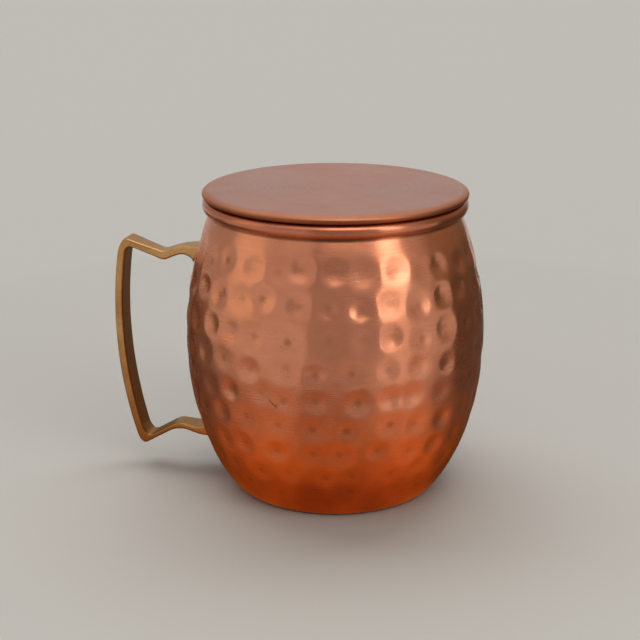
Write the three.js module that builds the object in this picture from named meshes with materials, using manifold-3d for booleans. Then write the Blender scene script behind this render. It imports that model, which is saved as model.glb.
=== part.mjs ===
// A barrel-shaped copper mug with a cast brass strap handle and a loose flat lid.
// Millimetres, +Z up. The origin is on the barrel's axis, on the plane that the mug
// stands on, and the handle points along -X. Profiles are pairs (radius, height).

import * as THREE from 'three';
import { mergeVertices } from 'three/addons/utils/BufferGeometryUtils.js';
import Module from 'manifold-3d';

// Barrel, spun from one copper sheet
const SHEET = 0.9;
const BELLY_RADIUS = 48.05;
const BELLY_HEIGHT = 50;
const LOWER_ELLIPSE_RADIAL = 31.5;
const LOWER_ELLIPSE_HEIGHT = 58;
const UPPER_ARC_RADIUS = 103;
const FOOT_FLAT_RADIUS = 30.8;
const FOOT_CORNER_HEIGHT = 1.4;
const NECK_HEIGHT = 90.3;

// Rim, the same sheet rolled outwards into a flattened hollow bead
const MOUTH_RADIUS = 38.7;
const RIM_RADIUS = 42.05;
const RIM_TOP = 95.15;
const RIM_BOTTOM = 90.8;
const RIM_INNER_CORNER = 1.2;
const RIM_OUTER_CORNER = 1.45;
const RIM_LOWER_CORNER = 1.5;
const RIM_SHEET_END = 40.35;

// Lid, a cover sheet whose hem is closed over the flange of a pressed plug
const CLEARANCE = 0.3;
const LID_RADIUS = 42.1;
const LID_TOP = 98;
const LID_BOTTOM = RIM_TOP + CLEARANCE;
const COVER_SHEET = 0.7;
const COVER_UPPER_CORNER = 1.4;
const COVER_LOWER_CORNER = 1.05;
const HEM_INNER_RADIUS = 39.6;
const PLUG_SHEET = 0.55;
const PLUG_RADIUS = 38.2;
const PLUG_BOTTOM = 91.4;
const PLUG_FLANGE_RADIUS = 41;
const PLUG_CORNER = 1;

// Handle, a cast strap that lies in the XZ plane
const GRIP_WIDTH = 8.4;
const UPPER_ARM_WIDTH = 5.8;
const LOWER_ARM_WIDTH = 6.8;
const ROOT_WIDTH = 9.4;
const GRIP_OUTER_DISTANCE = 73.8;
const GRIP_CROWN_HEIGHT = 52;
const GRIP_ARC_RADIUS = 145;
const GRIP_THICKNESS = 2.7;
const HANDLE_BEVEL = 0.6;

// Brazed joints between the handle's two roots and the barrel
const BRAZE_THICKNESS = 0.45;
const BRAZE_MARGIN = 0.8;
const UPPER_ROOT = { low: 71.9, high: 77.3 };
const LOWER_ROOT = { low: 11.6, high: 16.7 };

const ROUND_SEGMENTS = 48;

const wasm = await Module();
wasm.setup();

const at = (radius, height) => new THREE.Vector2(radius, height);

// Outer radius of the barrel at a height: a quarter ellipse below the belly, an arc above.
function barrelRadius(height) {
  const above = height - BELLY_HEIGHT;
  if (above > 0) {
    return BELLY_RADIUS - UPPER_ARC_RADIUS + Math.sqrt(UPPER_ARC_RADIUS ** 2 - above ** 2);
  }
  const fraction = above / LOWER_ELLIPSE_HEIGHT;
  return BELLY_RADIUS - LOWER_ELLIPSE_RADIAL * (1 - Math.sqrt(1 - fraction ** 2));
}

function barrelSlope(height) {
  const step = 0.01;
  return (barrelRadius(height + step) - barrelRadius(height - step)) / (2 * step);
}

// The point that lies depth inside the barrel's outer surface, square to it.
function barrelPoint(height, depth) {
  const slope = barrelSlope(height);
  const length = Math.hypot(1, slope);
  return at(barrelRadius(height) - depth / length, height + (depth * slope) / length);
}

// The barrel's profile at that depth, from the edge of its flat floor up to the neck.
function barrelProfile(depth, steps) {
  const wall = [];
  for (let i = 0; i <= steps; i += 1) {
    const height = FOOT_CORNER_HEIGHT + ((NECK_HEIGHT - FOOT_CORNER_HEIGHT) * i) / steps;
    wall.push(barrelPoint(height, depth));
  }
  const start = wall[0];
  const tangentAtFloor = start.x - (start.y - depth) * barrelSlope(FOOT_CORNER_HEIGHT);
  const corner = new THREE.QuadraticBezierCurve(at(FOOT_FLAT_RADIUS, depth), at(tangentAtFloor, depth), start);
  return [...corner.getPoints(3).slice(0, -1), ...wall];
}

// A quarter circle between two angles, in degrees, as profile points.
function corner(radius, centreRadius, centreHeight, fromDegrees, toDegrees, steps = 3) {
  const points = [];
  for (let i = 0; i <= steps; i += 1) {
    const angle = THREE.MathUtils.degToRad(fromDegrees + ((toDegrees - fromDegrees) * i) / steps);
    points.push(at(centreRadius + radius * Math.cos(angle), centreHeight + radius * Math.sin(angle)));
  }
  return points;
}

// The rolled rim: up inside the bead, round its hollow to the sheet's end, then back outside.
function rimProfile() {
  const innerCentre = at(MOUTH_RADIUS + RIM_INNER_CORNER, RIM_TOP - RIM_INNER_CORNER);
  const outerCentre = at(RIM_RADIUS - RIM_OUTER_CORNER, RIM_TOP - RIM_OUTER_CORNER);
  const lowerCentre = at(RIM_RADIUS - RIM_LOWER_CORNER, RIM_BOTTOM + RIM_LOWER_CORNER);
  return [
    at(MOUTH_RADIUS + SHEET, NECK_HEIGHT + 1),
    ...corner(RIM_INNER_CORNER - SHEET, innerCentre.x, innerCentre.y, 180, 90, 1),
    ...corner(RIM_OUTER_CORNER - SHEET, outerCentre.x, outerCentre.y, 90, 0, 2),
    ...corner(RIM_LOWER_CORNER - SHEET, lowerCentre.x, lowerCentre.y, 0, -90, 2),
    at(RIM_SHEET_END, RIM_BOTTOM + SHEET),
    at(RIM_SHEET_END, RIM_BOTTOM),
    ...corner(RIM_LOWER_CORNER, lowerCentre.x, lowerCentre.y, -90, 0),
    ...corner(RIM_OUTER_CORNER, outerCentre.x, outerCentre.y, 0, 90),
    ...corner(RIM_INNER_CORNER, innerCentre.x, innerCentre.y, 90, 180),
    at(MOUTH_RADIUS, NECK_HEIGHT + 1),
  ];
}

// A solid of revolution about +Z. The profile runs from the axis back to the axis,
// upwards on the outside.
function turned(profile) {
  const geometry = new THREE.LatheGeometry(profile, ROUND_SEGMENTS);
  geometry.rotateX(Math.PI / 2);
  return geometry;
}

function makeBarrel() {
  const outside = barrelProfile(0, 16);
  const inside = barrelProfile(SHEET, 12).reverse();
  return turned([at(0, 0), ...outside, ...rimProfile(), ...inside, at(0, SHEET)]);
}

function makeLidCover() {
  const upper = at(LID_RADIUS - COVER_UPPER_CORNER, LID_TOP - COVER_UPPER_CORNER);
  const lower = at(LID_RADIUS - COVER_LOWER_CORNER, LID_BOTTOM + COVER_LOWER_CORNER);
  return turned([
    at(0, LID_TOP - COVER_SHEET),
    ...corner(COVER_UPPER_CORNER - COVER_SHEET, upper.x, upper.y, 90, 0, 2),
    ...corner(COVER_LOWER_CORNER - COVER_SHEET, lower.x, lower.y, 0, -90, 1),
    at(HEM_INNER_RADIUS, LID_BOTTOM + COVER_SHEET),
    at(HEM_INNER_RADIUS, LID_BOTTOM),
    ...corner(COVER_LOWER_CORNER, lower.x, lower.y, -90, 0),
    ...corner(COVER_UPPER_CORNER, upper.x, upper.y, 0, 90),
    at(0, LID_TOP),
  ]);
}

function makeLidPlug() {
  const flangeBottom = LID_BOTTOM + COVER_SHEET + CLEARANCE;
  const flangeTop = flangeBottom + PLUG_SHEET;
  const bend = PLUG_SHEET;
  return turned([
    at(0, PLUG_BOTTOM),
    ...corner(PLUG_CORNER, PLUG_RADIUS - PLUG_CORNER, PLUG_BOTTOM + PLUG_CORNER, -90, 0),
    ...corner(bend, PLUG_RADIUS + bend, flangeBottom - bend, 180, 90, 2),
    at(PLUG_FLANGE_RADIUS, flangeBottom),
    at(PLUG_FLANGE_RADIUS, flangeTop),
    at(PLUG_RADIUS + bend, flangeTop),
    at(PLUG_RADIUS - PLUG_SHEET, flangeBottom - bend),
    at(PLUG_RADIUS - PLUG_SHEET, PLUG_BOTTOM + PLUG_CORNER),
    at(PLUG_RADIUS - PLUG_CORNER, PLUG_BOTTOM + PLUG_SHEET),
    at(0, PLUG_BOTTOM + PLUG_SHEET),
  ]);
}

// Side view of the handle, as pairs (distance from the axis, height).
function handleOutline() {
  const arcCentre = at(GRIP_OUTER_DISTANCE - GRIP_ARC_RADIUS, GRIP_CROWN_HEIGHT);
  const onGrip = (height, depth) => {
    const radius = GRIP_ARC_RADIUS - depth;
    return at(arcCentre.x + Math.sqrt(radius ** 2 - (height - arcCentre.y) ** 2), height);
  };
  const gripLine = (from, to, depth, steps) => {
    const points = [];
    for (let i = 0; i <= steps; i += 1) {
      points.push(onGrip(from + ((to - from) * i) / steps, depth));
    }
    return points;
  };
  const bend = (start, control, end) => new THREE.QuadraticBezierCurve(start, control, end).getPoints(3);
  return [
    // top of the upper arm, from inside the barrel out to the shoulder
    at(41, UPPER_ROOT.high),
    ...bend(at(50, 76.9), at(52, 76.5), at(54.2, 75.7)),
    ...bend(at(55.9, 75.05), at(57, 74.65), at(58.2, 75.05)),
    ...bend(at(68.4, 78.5), at(70.6, 79.2), onGrip(74, 0)),
    // outside of the grip, down to the heel
    ...gripLine(70, 12, 0, 8),
    ...bend(onGrip(9.4, 0), at(66, 6.4), at(64.2, 7.5)),
    // underside of the lower arm, back into the barrel
    ...bend(at(55.6, 12.4), at(53.2, 13.3), at(50.8, 12.9)),
    at(45.8, 12),
    at(37, LOWER_ROOT.low),
    at(37, 18),
    // top of the lower arm
    ...bend(at(41.2, 17.5), at(44.2, 14.9), at(47.4, 14.7)),
    ...bend(at(51.2, 15.2), at(53.2, 15.7), at(55.4, 14.5)),
    ...bend(at(62, 10.6), at(64.4, 9.3), onGrip(13.6, GRIP_THICKNESS)),
    // inside of the grip, up to the shoulder
    ...gripLine(18, 72, GRIP_THICKNESS, 8),
    ...bend(onGrip(74.2, GRIP_THICKNESS), at(68.5, 76.1), at(67, 75.6)),
    // underside of the upper arm
    ...bend(at(58.4, 72.1), at(57, 71.5), at(55.6, 72)),
    ...bend(at(53.4, 73), at(49.6, 75), at(46.4, 72.4)),
    at(44, 70.4),
    at(41, 69.8),
  ];
}

// Width of the strap across its plane: widest at the roots, narrowest along the arms.
function strapWidth(distance, height) {
  const smooth = THREE.MathUtils.smoothstep;
  const arm = THREE.MathUtils.lerp(LOWER_ARM_WIDTH, UPPER_ARM_WIDTH, smooth(height, 30, 60));
  const root = (ROOT_WIDTH - arm) * (1 - smooth(distance, 43, 52));
  const grip = (GRIP_WIDTH - arm) * smooth(distance, 58, 71.5);
  return arm + root + grip;
}

// Stands a flat shape up in the XZ plane, with its first coordinate along -X.
function standUp(geometry) {
  const basis = new THREE.Matrix4();
  basis.makeBasis(new THREE.Vector3(-1, 0, 0), new THREE.Vector3(0, 0, 1), new THREE.Vector3(0, 1, 0));
  geometry.applyMatrix4(basis);
}

function makeHandleBlank() {
  const geometry = new THREE.ExtrudeGeometry(new THREE.Shape(handleOutline()), {
    depth: GRIP_WIDTH - 2 * HANDLE_BEVEL,
    steps: 1,
    bevelThickness: HANDLE_BEVEL,
    bevelSize: HANDLE_BEVEL,
    bevelOffset: -HANDLE_BEVEL,
    bevelSegments: 1,
  });
  geometry.translate(0, 0, HANDLE_BEVEL - GRIP_WIDTH / 2);
  standUp(geometry);
  const position = geometry.attributes.position;
  for (let i = 0; i < position.count; i += 1) {
    const width = strapWidth(-position.getX(i), position.getZ(i));
    position.setY(i, (position.getY(i) * width) / GRIP_WIDTH);
  }
  return geometry;
}

// A closed mesh as a solid that can be joined and cut.
function asSolid(geometry) {
  const bare = geometry.clone();
  bare.deleteAttribute('normal');
  bare.deleteAttribute('uv');
  const merged = mergeVertices(bare, 1e-4);
  const index = merged.index.array;
  const triangles = [];
  for (let i = 0; i < index.length; i += 3) {
    const [a, b, c] = [index[i], index[i + 1], index[i + 2]];
    if (a !== b && b !== c && c !== a) {
      triangles.push(a, b, c);
    }
  }
  return new wasm.Manifold(new wasm.Mesh({
    numProp: 3,
    vertProperties: new Float32Array(merged.attributes.position.array),
    triVerts: new Uint32Array(triangles),
  }));
}

function asGeometry(solid) {
  const mesh = solid.getMesh();
  const geometry = new THREE.BufferGeometry();
  geometry.setAttribute('position', new THREE.BufferAttribute(mesh.vertProperties, 3));
  geometry.setIndex(new THREE.BufferAttribute(mesh.triVerts, 1));
  geometry.computeVertexNormals();
  return geometry;
}

// The barrel as a solid block that stands proud of its real surface.
function swollenBarrel(proud) {
  const profile = barrelProfile(-proud, 16);
  return asSolid(turned([at(0, -proud), ...profile, at(0, profile[profile.length - 1].y)]));
}

function makeHandle() {
  const standoff = CLEARANCE + BRAZE_THICKNESS + CLEARANCE;
  return asGeometry(asSolid(makeHandleBlank()).subtract(swollenBarrel(standoff)));
}

// A layer of filler on the barrel, a little larger all round than the root that it holds.
function makeBraze(root) {
  const halfWidth = ROOT_WIDTH / 2 + BRAZE_MARGIN;
  const low = root.low - BRAZE_MARGIN;
  const high = root.high + BRAZE_MARGIN;
  const cut = 2;
  const pad = new THREE.Shape([
    at(-halfWidth + cut, low),
    at(halfWidth - cut, low),
    at(halfWidth, low + cut),
    at(halfWidth, high - cut),
    at(halfWidth - cut, high),
    at(-halfWidth + cut, high),
    at(-halfWidth, high - cut),
    at(-halfWidth, low + cut),
  ]);
  const geometry = new THREE.ExtrudeGeometry(pad, { depth: BELLY_RADIUS, bevelEnabled: false });
  const basis = new THREE.Matrix4();
  basis.makeBasis(new THREE.Vector3(0, -1, 0), new THREE.Vector3(0, 0, 1), new THREE.Vector3(-1, 0, 0));
  geometry.applyMatrix4(basis);
  const layer = swollenBarrel(CLEARANCE + BRAZE_THICKNESS).subtract(swollenBarrel(CLEARANCE));
  return asGeometry(layer.intersect(asSolid(geometry)));
}

function metal(color, roughness) {
  return new THREE.MeshStandardMaterial({ color, roughness, metalness: 1 });
}

function named(name, geometry, material) {
  const mesh = new THREE.Mesh(geometry, material);
  mesh.name = name;
  return mesh;
}

const mug = new THREE.Group();
mug.add(named('barrel', makeBarrel(), metal(0xb9704f, 0.34)));
mug.add(named('handle', makeHandle(), metal(0xa87c48, 0.42)));
mug.add(named('upper_braze', makeBraze(UPPER_ROOT), metal(0x9a6f45, 0.5)));
mug.add(named('lower_braze', makeBraze(LOWER_ROOT), metal(0x9a6f45, 0.5)));

const lid = new THREE.Group();
lid.add(named('lid_cover', makeLidCover(), metal(0xb47a62, 0.38)));
lid.add(named('lid_plug', makeLidPlug(), metal(0xb47a62, 0.4)));
mug.add(lid);

export default mug;
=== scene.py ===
# The looks of a lidded, hammered copper mug with a cast brass strap handle, made around its
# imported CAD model. The frame is the CAD model's, +Z up, in metres. Profiles, outlines and the
# sizes of the mug below are in millimetres, and object_from turns them into metres.
import math

import bpy
import numpy as np
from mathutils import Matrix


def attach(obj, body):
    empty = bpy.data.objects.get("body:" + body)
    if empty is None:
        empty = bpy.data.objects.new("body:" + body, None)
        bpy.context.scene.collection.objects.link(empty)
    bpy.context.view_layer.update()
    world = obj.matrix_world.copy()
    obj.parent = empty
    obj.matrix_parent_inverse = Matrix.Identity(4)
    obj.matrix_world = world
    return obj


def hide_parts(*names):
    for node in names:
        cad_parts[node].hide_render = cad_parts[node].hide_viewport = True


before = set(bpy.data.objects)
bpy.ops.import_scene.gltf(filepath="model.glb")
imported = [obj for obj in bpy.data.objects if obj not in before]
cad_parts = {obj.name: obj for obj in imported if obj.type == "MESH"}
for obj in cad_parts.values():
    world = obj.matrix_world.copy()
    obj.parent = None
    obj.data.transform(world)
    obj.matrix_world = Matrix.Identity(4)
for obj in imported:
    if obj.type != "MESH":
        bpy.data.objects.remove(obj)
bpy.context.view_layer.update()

METRES = 0.001  # in one millimetre
ROUND_SEGMENTS = 360
random_source = np.random.default_rng(7)

# Barrel, as in the CAD model
SHEET = 0.9
BELLY_RADIUS = 48.05
BELLY_HEIGHT = 50.0
LOWER_ELLIPSE_RADIAL = 31.5
LOWER_ELLIPSE_HEIGHT = 58.0
UPPER_ARC_RADIUS = 103.0
FOOT_FLAT_RADIUS = 30.8
FOOT_CORNER_HEIGHT = 1.4
NECK_HEIGHT = 90.3
MOUTH_RADIUS = 38.7
OUTER_WALL_ROWS = 130
INNER_WALL_ROWS = 50

# Rolled rim, the size of the CAD model's, with a rounder bead and the sheet's end further in
RIM_RADIUS = 42.05
RIM_TOP = 95.15
RIM_BOTTOM = 90.8
RIM_START_HEIGHT = NECK_HEIGHT + 1
RIM_INNER_CORNER = 1.2
RIM_OUTER_CORNER = 1.95
RIM_LOWER_CORNER = 2.05
RIM_END_RADIUS = 39.92
RIM_END_CORNER = 0.22
BEAD_FADE = (NECK_HEIGHT + 0.3, NECK_HEIGHT + 0.8)
CREASE_HEIGHT = NECK_HEIGHT + 0.1
CREASE_SPREAD = 0.4
CREASE_TOP = RIM_BOTTOM - 0.2
UNDER_BEAD_FADE = (RIM_BOTTOM, RIM_BOTTOM + 0.9)

# Hammer marks: (height, number round the barrel, turn of the first one in degrees, depth)
DENT_ROWS = (
    (81.0, 30, 0.0, 0.64),
    (71.6, 30, -2.0, 0.72),
    (61.6, 29, -4.0, 0.68),
    (51.8, 29, 7.0, 0.52),
    (43.0, 30, 7.0, 0.64),
    (33.6, 27, 5.0, 0.56),
    (24.6, 27, 3.0, 0.52),
    (16.6, 25, -4.0, 0.42),
    (9.6, 21, -9.0, 0.3),
)
DENT_RADIUS = 3.9
DENT_REACH = 1.6  # where a mark is taken to end, in radii
DENT_SHOULDER = 0.32
INNER_DENT_SHARE = 0.7  # how much of a mark's depth shows inside
PIP_RADIUS = 1.15
PIP_DEPTH = 0.03
PIP_REACH = 2.6
PIP_MARGIN = 1.5
FAR_OFF = 9.0

# How much the marks vary: turn in degrees, height, share of the radius, share of the depth
DENT_TURN_JITTER = 1.3
DENT_HEIGHT_JITTER = 0.7
DENT_RADIUS_JITTER = 0.09
DENT_DEPTH_JITTER = 0.25
JITTER_LIMIT = 2
PIP_STRENGTH = 0.55
PIP_STRENGTH_JITTER = 0.3
PIP_STRENGTH_RANGE = (0.1, 1)

# Lid, as in the CAD model, but with its upper edge rounded over COVER_SHOULDER (across, up)
LID_RADIUS = 42.1
LID_TOP = 98.0
LID_BOTTOM = 95.45
COVER_SHEET = 0.7
COVER_UPPER_CORNER = 1.4
COVER_SHOULDER = (3.0, 1.45)
COVER_LOWER_CORNER = 1.05
# Where the painted shade on the lid's edge and side fades in
LID_EDGE_FADE = (LID_RADIUS - 2.3, LID_RADIUS - 1.1)
LID_SIDE_FADE = (LID_TOP - 1.5, LID_TOP - 0.6)
HEM_INNER_RADIUS = 39.6
PLUG_SHEET = 0.55
PLUG_RADIUS = 38.2
PLUG_BOTTOM = 91.4
PLUG_FLANGE_RADIUS = 41.0
PLUG_FLANGE_BOTTOM = 96.45
PLUG_CORNER = 1.0

# Handle, as in the CAD model but with rounded edges. A change lies between two heights or two
# distances from the axis.
GRIP_WIDTH = 8.4
UPPER_ARM_WIDTH = 5.8
LOWER_ARM_WIDTH = 6.8
ROOT_WIDTH = 9.4
ARM_CHANGE = (30, 60)
ROOT_CHANGE = (43, 52)
GRIP_CHANGE = (58, 71.5)
GRIP_OUTER_DISTANCE = 73.8
GRIP_CROWN_HEIGHT = 52.0
GRIP_ARC_RADIUS = 145.0
GRIP_THICKNESS = 2.7
HANDLE_EDGE = 0.75
HANDLE_STATIONS = 420
OUTER_FACE_FOCUS = 4
ROOT_GAP = 0.15

# Collars of filler: (lowest, highest, width) of each root, the filler's outline in shares of its
# reach, as (outwards from the root, proud of the barrel), and its waves (share, rate, start)
BRAZE_REACH = 0.9
BRAZE_ROOTS = {
    "upper_braze": (72.0, 77.1, 8.5),
    "lower_braze": (11.8, 16.7, 9.4),
}
BRAZE_SECTION = (
    (-0.4, -0.5), (1.1, -0.5), (1.0, 0.02), (0.45, 0.18), (0.18, 0.45), (-0.05, 1.0), (-0.4, 1.0),
)
BRAZE_WAVES = ((0.12, 2.1, 0), (0.08, 0.7, 1))

# Camera, floor and backdrop, in metres and degrees
CAMERA_TURN = 11.5
CAMERA_PLACE = (0.0879, -0.4321, 0.1904)
CAMERA_TILT = 72.81
CAMERA_HEADING = 12.13
CAMERA_LENS = 80.0
CAMERA_NEAREST = 0.01
FLOOR_RADIUS = 6.0
FLOOR_SEGMENTS = 96
FLOOR_GAP = 0.0002
FLOOR_ROUGHNESS = 0.75
FLOOR_SPECULAR = 0.2
FLOOR_COLOUR = (0.405, 0.397, 0.38)
BACKDROP_COLOUR = (0.515, 0.50, 0.455)

# Warm mat on the floor, in metres. Its colours are (distance from the mug's axis, colour).
MAT_RADIUS = 0.235
MAT_SEGMENTS = 64
MAT_HEIGHT = 0.0005
MAT_SETBACK = 0.072
# The mat is a glowing sheet; its darkest colour, nearest the axis, is a painted shadow round the
# mug's foot
MAT_COLOURS = (
    (0.04, (0.28, 0.08, 0.013)),
    (0.056, (0.45, 0.165, 0.035)),
    (0.085, (0.45, 0.255, 0.135)),
    (0.13, (0.37, 0.24, 0.18)),
    (0.165, (0.46, 0.41, 0.37)),
)
# How its strength changes with the turn from the camera, either way, and with its grain, as
# (from, to, strength at the first, strength at the second)
MAT_SIDES = (35.0, 110.0, 1.0, 0.3)
MAT_GRAIN = (0.3, 0.7, 0.82, 1.14)
MAT_GRAIN_SCALE = 60.0
# Brighter and darker sectors of it: (turn from, turn to, softness, strength added)
MAT_WINDOW_SECTOR = (32, 66, 20, 0.3)
MAT_SUNNY_SECTOR = (-80, -25, 20, 0.12)
MAT_SHADED_SECTOR = (-18, 20, 12, -0.13)
MAT_SHADE_START = (0.055, 0.08)

# The studio as seen from the mug: (turn from, turn to, softness, rise from, rise to, softness,
# colour). Turns are in degrees to the right of the camera, rises above the horizon. A later zone
# covers an earlier one.
BACK_WALL = (0.41, 0.43, 0.45)
STUDIO = (
    (-150, -96, 12, -40, 60, 20, (0.36, 0.34, 0.31)),
    (-96, -63, 8, -40, 40, 24, (0.72, 0.66, 0.53)),
    (-63, -18, 5, -40, 60, 20, (0.47, 0.435, 0.415)),
    (-63, -14, 12, 35, 80, 10, (0.85, 0.78, 0.72)),
    (-14, 38, 10, 35, 74, 10, (2.1, 1.9, 1.7)),
    (-18, 35, 4, -40, 35, 8, (0.19, 0.17, 0.17)),
    (16, 36, 10, -40, 34, 12, (0.40, 0.37, 0.35)),
    (38, 58, 8, -30, 56, 14, (2.8, 2.7, 2.45)),
    (60, 90, 8, -40, 60, 20, (0.44, 0.40, 0.37)),
    (84, 150, 22, -40, 40, 20, (0.22, 0.18, 0.12)),
)
# Two bright zones behind the mug that throw its soft shadow, and how much of them metal mirrors
KEY_LIGHTS = (
    (-180, -100, 16, 44, 78, 12, (3.9, 3.9, 3.8)),
    (120, 180, 16, 44, 78, 12, (3.9, 3.9, 3.8)),
)
KEY_IN_REFLECTIONS = 0.12

# Cards stood round the mug that only reflections see: (turn from, turn to, distance in metres,
# top, colour, strength low down, strength high up, and the two heights it changes between)
CARD_STEPS = 12
CARDS = {
    "right_flag": (85, 140, 0.16, 0.15, (1.0, 0.76, 0.5), 0.1, 0.3, 0.05, 0.15),
    "left_flag": (-145, -97, 0.16, 0.058, (1.0, 0.72, 0.45), 0.15, 0.15, 0.0, 0.1),
    "front_card": (-19, 14, 0.2, 0.18, (1.0, 0.92, 0.88), 0.34, 0.17, 0.1, 0.165),
    "front_side_card": (14, 35, 0.2, 0.18, (1.0, 0.92, 0.88), 0.37, 0.34, 0.0, 0.2),
    "window_card": (36, 51, 0.17, 0.2, (1.0, 0.95, 0.88), 0.7, 2.6, 0.06, 0.15),
}

# Colours of the metals
FRESH_COPPER = (0.9, 0.365, 0.215)
AGED_COPPER = (0.5, 0.12, 0.04)
INNER_COPPER = (0.93, 0.56, 0.40)
BEAD_COPPER = (0.62, 0.21, 0.12)
# Painted shade in the crease under the rolled rim
CREASE_SHADE_COPPER = (0.26, 0.08, 0.03)
PIP_COPPER = (0.42, 0.16, 0.08)
NICK_COLOUR = (0.12, 0.035, 0.015)
LID_COPPER = (0.72, 0.35, 0.245)
# Painted shade: darker copper on the lid's rounded edge, darker still on its side
LID_EDGE_SHADE_COPPER = (0.66, 0.27, 0.15)
LID_SIDE_SHADE_COPPER = (0.36, 0.125, 0.06)
FRESH_BRASS = (0.76, 0.445, 0.185)
AGED_BRASS = (0.40, 0.19, 0.055)
AGED_FILLER = (0.22, 0.1, 0.04)

# Finish of the metals. Scales of noise are in cycles a metre and bumps in metres. A change is
# (from, to, value at the first, value at the second), over a noise unless said otherwise.
BARREL_ROUGHNESS = 0.235
BARREL_ANISOTROPY = 0.6
LID_ROUGHNESS = 0.3
LID_ANISOTROPY = 0.25
QUARTER_TURN = 0.25
NOISE_MIDDLE = (0.3, 0.7)
BRUSH_SCALE_AROUND = 24.0
BRUSH_SCALE_ACROSS = 3400.0
CLOUD_SCALE = 38.0
MOTTLE_SCALE = 300.0
WAVE_SCALE = 120.0
CLOUD_TARNISH = (0.35, 0.75, 0.0, 0.28)
BRUSH_TARNISH = (0.35, 0.75, 0.0, 0.12)
MOTTLE_TARNISH = (0.5, 0.8, 0.0, 0.1)
# Painted shade: the barrel's copper is darker towards the foot
FOOT_PAINTED_SHADE = (0.004, 0.036, 0.25, 0.0)  # over the height in metres
BRUSH_ROUGHNESS = (-0.03, 0.04)
CLOUD_ROUGHNESS = (0.4, 0.75, 0.0, 0.04)
EDGE_ROUGHNESS = 0.1
WAVE_BUMP = 0.00005
BRUSH_BUMP = 0.000002
PIP_RAGGEDNESS = 1.2
PIP_EXTENT = 2.0
PIP_ROUGHNESS = 0.1
PIP_BUMP = 0.00002
PIP_SHARE = 0.8
NICK_SHARE = 0.75
BEAD_SHARE = 0.75

BRASS_ROUGHNESS = 0.32
FILLER_ROUGHNESS = 0.42
CAST_CLOUD_SCALE = 90.0
CAST_GRAIN_SCALE = 1500.0
CAST_WAVE_SCALE = 160.0
CAST_CLOUD_TARNISH = (0.35, 0.7, 0.0, 0.5)
CAST_GRAIN_TARNISH = (0.5, 0.75, 0.0, 0.25)
CAST_CLOUD_ROUGHNESS = (0.4, 0.7, 0.0, 0.06)
CAST_GRAIN_ROUGHNESS = (-0.05, 0.08)
CAST_WAVE_BUMP = 0.0001
CAST_GRAIN_BUMP = 0.000015
# Painted shade on the strap's inner face, which faces the barrel
INNER_FACE_SHADE = 0.9
# The strap's outer face is made darker
OUTER_FACE_DARKENING = 0.35

# A small scratch: its place, its strokes as (across, up, lean in degrees, length, width), and
# where they fade, as shares of the length and of the width
NICK_TURN = -11.0
NICK_HEIGHT = 41.2
NICK_STROKES = (
    (-0.2, 0.1, -43.0, 3.8, 0.38),
    (0.75, -0.1, 55.0, 1.3, 0.28),
)
NICK_END_FADE = (0.4, 0.5)
NICK_SIDE_FADE = (0.3, 0.6)


# ---- profiles, in millimetres

def barrel_radius(height):
    """Outer radius of the barrel at a height: a quarter ellipse below the belly, an arc above."""
    above = np.asarray(height, float) - BELLY_HEIGHT
    upper = BELLY_RADIUS - UPPER_ARC_RADIUS + np.sqrt(UPPER_ARC_RADIUS**2 - above**2)
    share = np.clip(above / LOWER_ELLIPSE_HEIGHT, -1, 0)
    lower = BELLY_RADIUS - LOWER_ELLIPSE_RADIAL * (1 - np.sqrt(1 - share**2))
    return np.where(above > 0, upper, lower)


def barrel_slope(height, step=0.01):
    """How fast the barrel's radius grows with height."""
    return (barrel_radius(height + step) - barrel_radius(height - step)) / (2 * step)


def barrel_wall(heights, depth):
    """Profile points that lie depth inside the barrel's outer surface, square to it."""
    slope = barrel_slope(heights)
    length = np.hypot(1, slope)
    return np.column_stack([
        barrel_radius(heights) - depth / length,
        heights + depth * slope / length,
    ])


def arc(centre, radius, start, end, steps=8):
    """Points round a circle between two angles in degrees, 0 outwards and 90 upwards."""
    angles = np.radians(np.linspace(start, end, steps + 1))
    return np.column_stack([
        centre[0] + radius * np.cos(angles),
        centre[1] + radius * np.sin(angles),
    ])


def shoulder(corner, across, up, steps=16):
    """A quarter ellipse from the outer side up onto the top, inside an upper outer corner."""
    angles = np.linspace(0, np.pi / 2, steps + 1)
    return np.column_stack([
        corner[0] - across * (1 - np.cos(angles)),
        corner[1] - up * (1 - np.sin(angles)),
    ])


def straight(start, end, pitch, margin=0.12):
    """Points between two places, without those places, and with one more close to each end."""
    start, end = np.array(start, float), np.array(end, float)
    length = np.linalg.norm(end - start)
    steps = max(int(length / pitch), 1)
    shares = [margin / length, *(np.arange(1, steps) / steps), 1 - margin / length]
    return start + np.array(shares)[:, None] * (end - start)


def bezier(start, control, end, steps=8):
    """Points along a quadratic bend."""
    t = np.linspace(0, 1, steps + 1)[:, None]
    start, control, end = (np.array(p, float) for p in (start, control, end))
    return (1 - t)**2 * start + 2 * t * (1 - t) * control + t**2 * end


def foot_corner(depth, wall_start):
    """The rounded edge between the flat bottom and the wall, at that depth in the sheet."""
    slope = float(barrel_slope(FOOT_CORNER_HEIGHT))
    tangent = wall_start[0] - (wall_start[1] - depth) * slope
    return bezier((FOOT_FLAT_RADIUS, depth), (tangent, depth), wall_start)


# ---- meshes

def object_from(name, points, faces, body, attributes=None):
    """A smooth-shaded piece from points in millimetres, riding on a CAD body."""
    mesh = bpy.data.meshes.new(name)
    mesh.from_pydata((np.asarray(points) * METRES).tolist(), [], faces)
    mesh.shade_smooth()
    for label, values in (attributes or {}).items():
        layer = mesh.attributes.new(label, "FLOAT", "POINT")
        layer.data.foreach_set("value", np.asarray(values, np.float32).ravel())
    mesh.validate()
    piece = bpy.data.objects.new(name, mesh)
    bpy.context.scene.collection.objects.link(piece)
    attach(piece, body)
    return piece


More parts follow.
